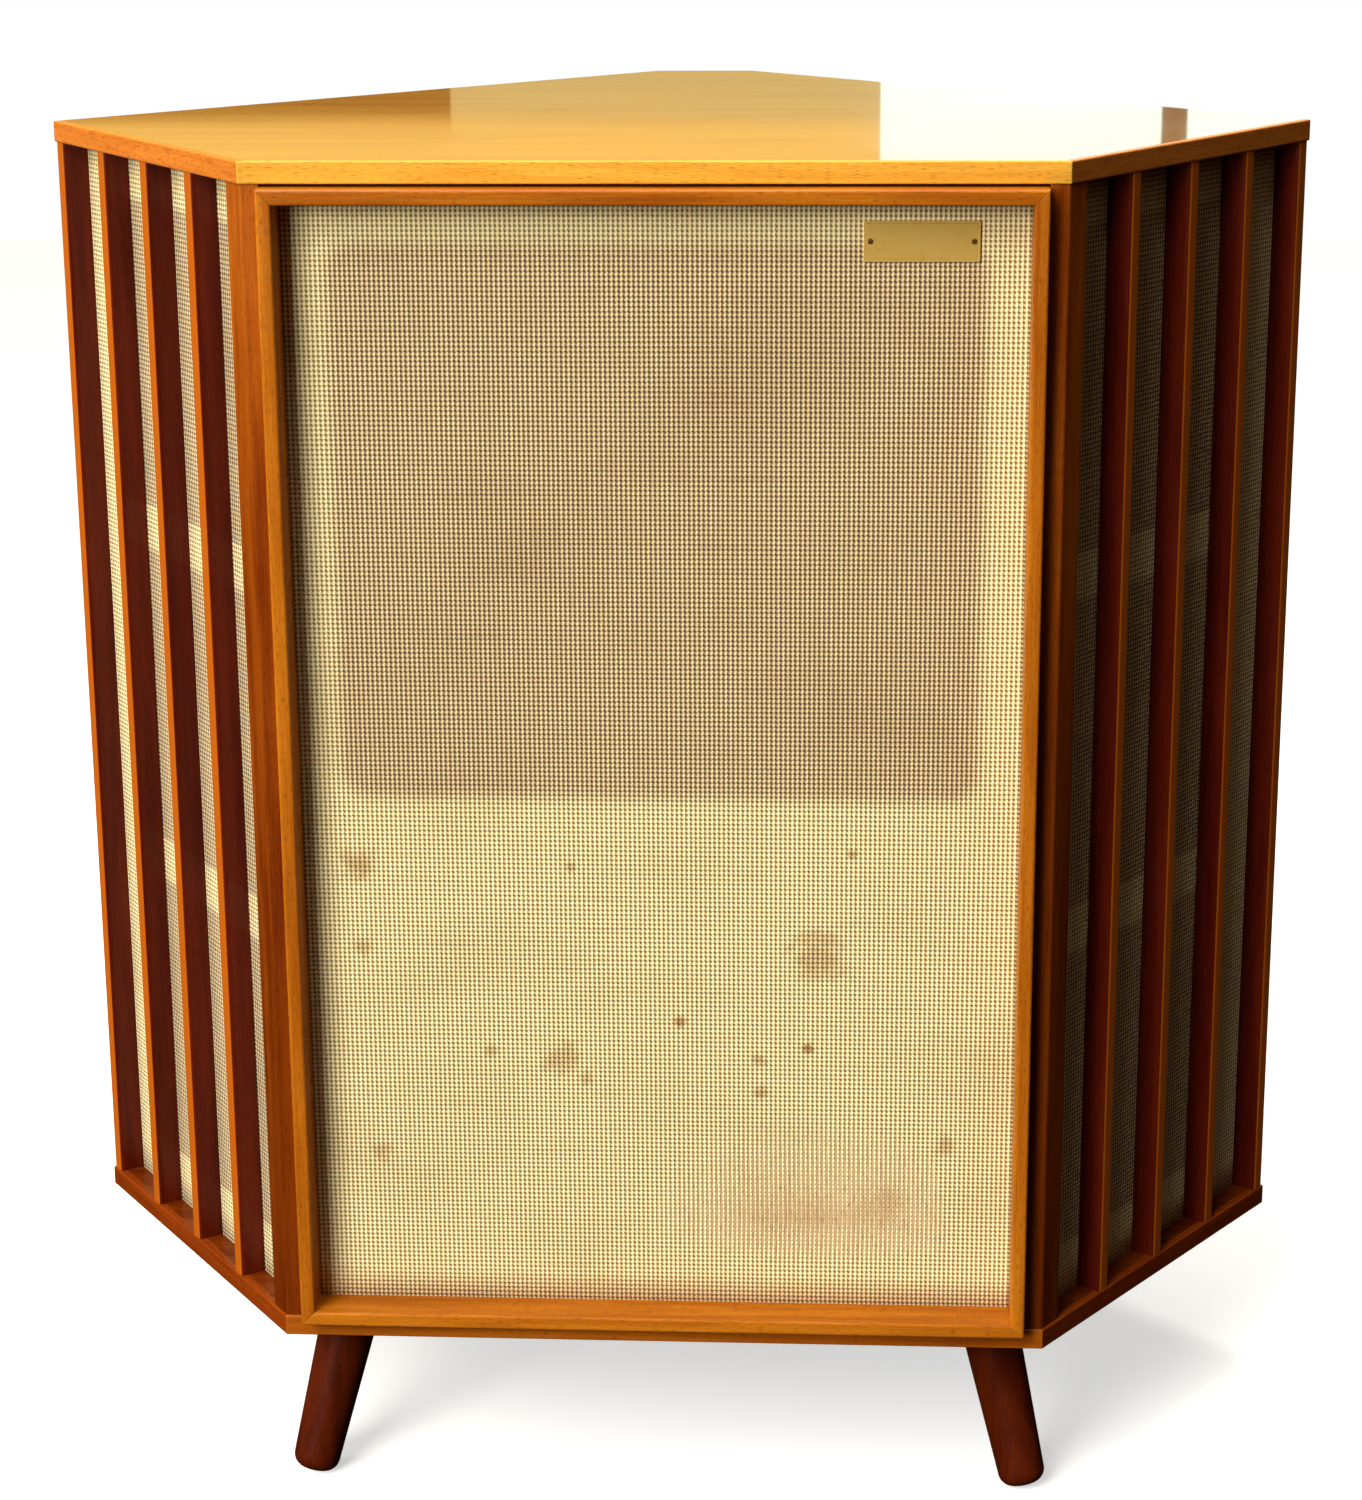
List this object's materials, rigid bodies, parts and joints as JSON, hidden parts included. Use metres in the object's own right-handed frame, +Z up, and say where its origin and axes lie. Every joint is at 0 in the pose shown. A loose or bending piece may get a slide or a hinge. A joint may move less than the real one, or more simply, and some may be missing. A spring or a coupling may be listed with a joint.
{
  "type": "corner loudspeaker cabinet",
  "caption": "Free-standing wooden corner loudspeaker with a framed cloth grille, slatted cloth-backed sides, splayed tapered legs and a horn-loaded drive unit inside.",
  "frame": {"origin": "on the floor, under the middle of the whole object's box", "axes": "+X to the cabinet's right seen from the front, +Y to the back towards the room corner, +Z up"},
  "size_m": [0.98, 0.768, 1.044],
  "materials": {
    "veneer_top": "high gloss lacquered veneer",
    "lipping": "gloss lacquered solid wood",
    "case_wood": "gloss lacquered solid wood",
    "slat_wood": "gloss lacquered red-brown solid wood",
    "frame_wood": "gloss lacquered moulding",
    "leg_wood": "gloss lacquered turned wood",
    "plywood": "plain sanded plywood",
    "dark_board": "matt dark stained board",
    "cloth": "woven grille cloth",
    "brass": "satin lacquered",
    "steel": "zinc plated",
    "basket_paint": "hammered grey",
    "magnet_paint": "gloss enamel",
    "cone_paper": "pressed paper",
    "cork": "cork",
    "copper": "enamelled wire",
    "paxolin": "laminate",
    "black_plastic": "moulded",
    "red_plastic": "moulded",
    "can": "waxed paper and tin"
  },
  "bodies": {
    "cabinet": {"back_centre_board": "plywood", "back_panel_left": "plywood", "back_panel_right": "plywood", "bottom_board": "case_wood", "bottom_board_lipping": "lipping", "chamber_back": "dark_board", "chamber_side_left": "dark_board", "chamber_side_right": "dark_board", "crossover_board": "paxolin", "crossover_capacitors": "can", "crossover_coils": "copper", "driver_baffle": "dark_board", "driver_basket": "basket_paint", "driver_bolts": "steel", "driver_gasket": "cork", "driver_magnet": "magnet_paint", "driver_surround": "cone_paper", "front_panel": "dark_board", "front_post_left": "case_wood", "front_post_right": "case_wood", "horn_shelf": "dark_board", "horn_wall_left": "dark_board", "horn_wall_right": "dark_board", "leg_front_left": "leg_wood", "leg_front_right": "leg_wood", "leg_plates": "steel", "leg_rear_left": "leg_wood", "leg_rear_right": "leg_wood", "rear_stile_left": "case_wood", "rear_stile_right": "case_wood", "side_cloth_left": "cloth", "side_cloth_right": "cloth", "side_jamb_left": "plywood", "side_jamb_right": "plywood", "side_rails_left": "plywood", "side_rails_right": "plywood", "side_slat_left_1": "slat_wood", "side_slat_left_2": "slat_wood", "side_slat_left_3": "slat_wood", "side_slat_right_1": "slat_wood", "side_slat_right_2": "slat_wood", "side_slat_right_3": "slat_wood", "terminal_plate": "paxolin", "terminal_studs": "brass", "top_board": "veneer_top", "top_board_lipping": "lipping"},
    "grille": {"frame_rail_top": "frame_wood", "frame_rail_bottom": "frame_wood", "frame_stile_left": "frame_wood", "frame_stile_right": "frame_wood", "grille_board": "plywood", "grille_cloth": "cloth", "grille_pegs": "plywood", "badge_plate": "brass", "badge_screws": "brass"},
    "cone": {"driver_cone": "cone_paper", "dust_cap": "cone_paper", "voice_coil": "copper"},
    "black_nut": {"terminal_nut_black": "black_plastic"},
    "red_nut": {"terminal_nut_red": "red_plastic"}
  },
  "joints": [
    {"name": "grille_pull", "type": "slide", "parent": "cabinet", "child": "grille", "axis": [0, -1, 0], "range_m": [0, 0.12]},
    {"name": "cone_travel", "type": "slide", "parent": "cabinet", "child": "cone", "axis": [0, -1, 0], "range_m": [-0.004, 0.004], "stiffness_N_per_m": 5000},
    {"name": "black_nut_turn", "type": "hinge", "parent": "cabinet", "child": "black_nut", "pos_m": [-0.015, 0.374, 0.29], "axis": [0, 1, 0], "range_deg": [0, 360]},
    {"name": "red_nut_turn", "type": "hinge", "parent": "cabinet", "child": "red_nut", "pos_m": [0.015, 0.374, 0.29], "axis": [0, 1, 0], "range_deg": [0, 360]}
  ]
}
